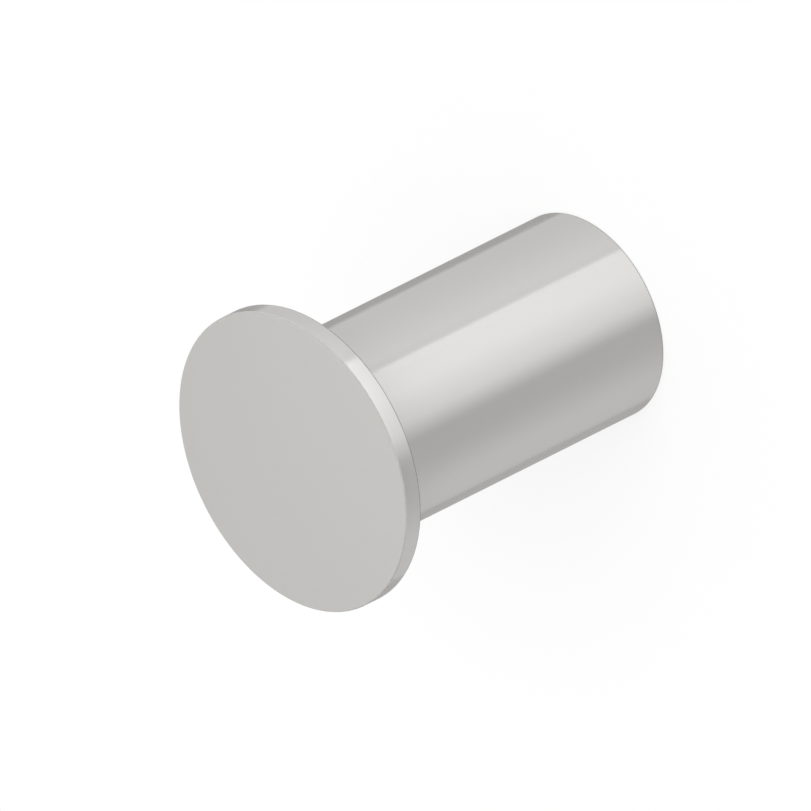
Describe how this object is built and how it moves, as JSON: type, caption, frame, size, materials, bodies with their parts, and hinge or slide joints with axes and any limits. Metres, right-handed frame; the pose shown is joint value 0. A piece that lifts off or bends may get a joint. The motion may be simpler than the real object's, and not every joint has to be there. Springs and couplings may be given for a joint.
{
  "type": "semi-tubular rivet",
  "caption": "Short round pin with a thin flat head and a blind bore in its tail, whose wall is flared in setting so that it clamps a stack of sheets.",
  "frame": {"origin": "centre of the end of the tail, on the surface that the rivet stands on", "axes": "+Z along the rivet's axis, from the tail to the face of the head; it is round, so X and Y are any two directions across it"},
  "size_m": [0.0078, 0.0078, 0.01],
  "materials": {
    "plated_steel": "dull grey zinc plating over cold-headed steel, satin, with faint polishing lines round the shank and the rim of the head"
  },
  "bodies": {
    "root": {"rivet": "plated_steel"}
  },
  "joints": []
}
